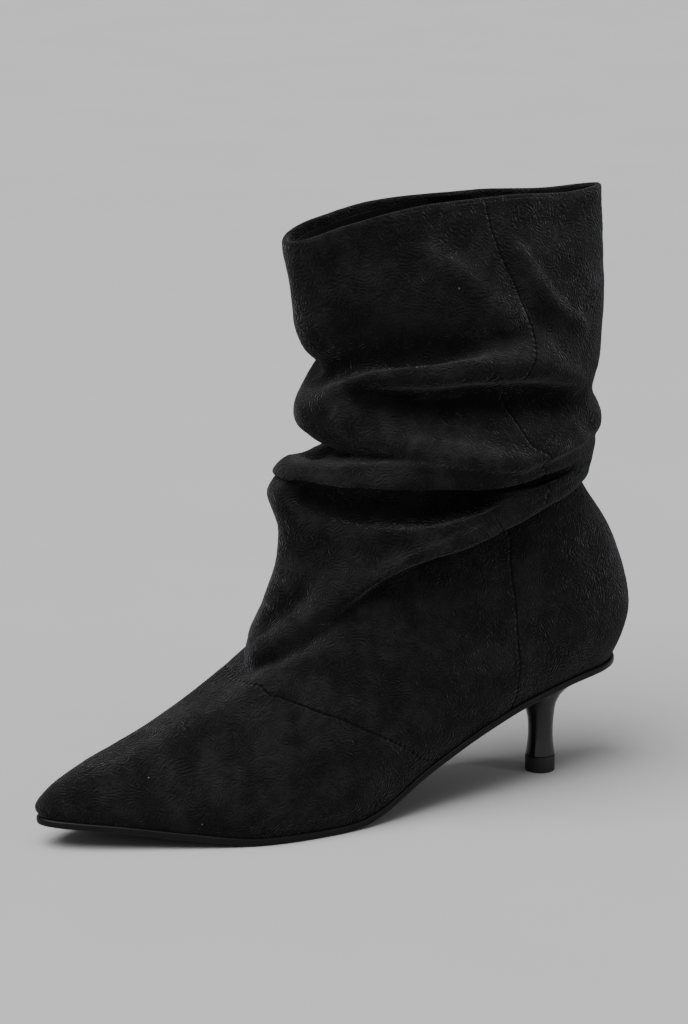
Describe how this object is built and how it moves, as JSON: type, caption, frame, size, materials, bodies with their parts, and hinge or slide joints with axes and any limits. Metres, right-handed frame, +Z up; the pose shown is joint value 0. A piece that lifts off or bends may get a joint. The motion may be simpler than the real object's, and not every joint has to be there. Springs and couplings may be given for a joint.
{
  "type": "slouch boot",
  "caption": "Pointed ankle boot on a slim kitten heel, with a wide pull-on shaft that slouches in soft folds over the instep.",
  "frame": {"origin": "on the ground under the middle of the boot's box", "axes": "+X towards the toe, +Y towards the outer side of the left foot, +Z up"},
  "size_m": [0.2518, 0.0802, 0.238],
  "materials": {
    "suede": "napped matte suede",
    "lining": "smooth matte lining",
    "sole": "satin",
    "heel_gloss": "high gloss lacquer",
    "tip_rubber": "matte"
  },
  "bodies": {
    "root": {"upper": "suede", "insole": "lining", "outsole": "sole", "heel": "heel_gloss", "heel_tip": "tip_rubber"}
  },
  "joints": []
}
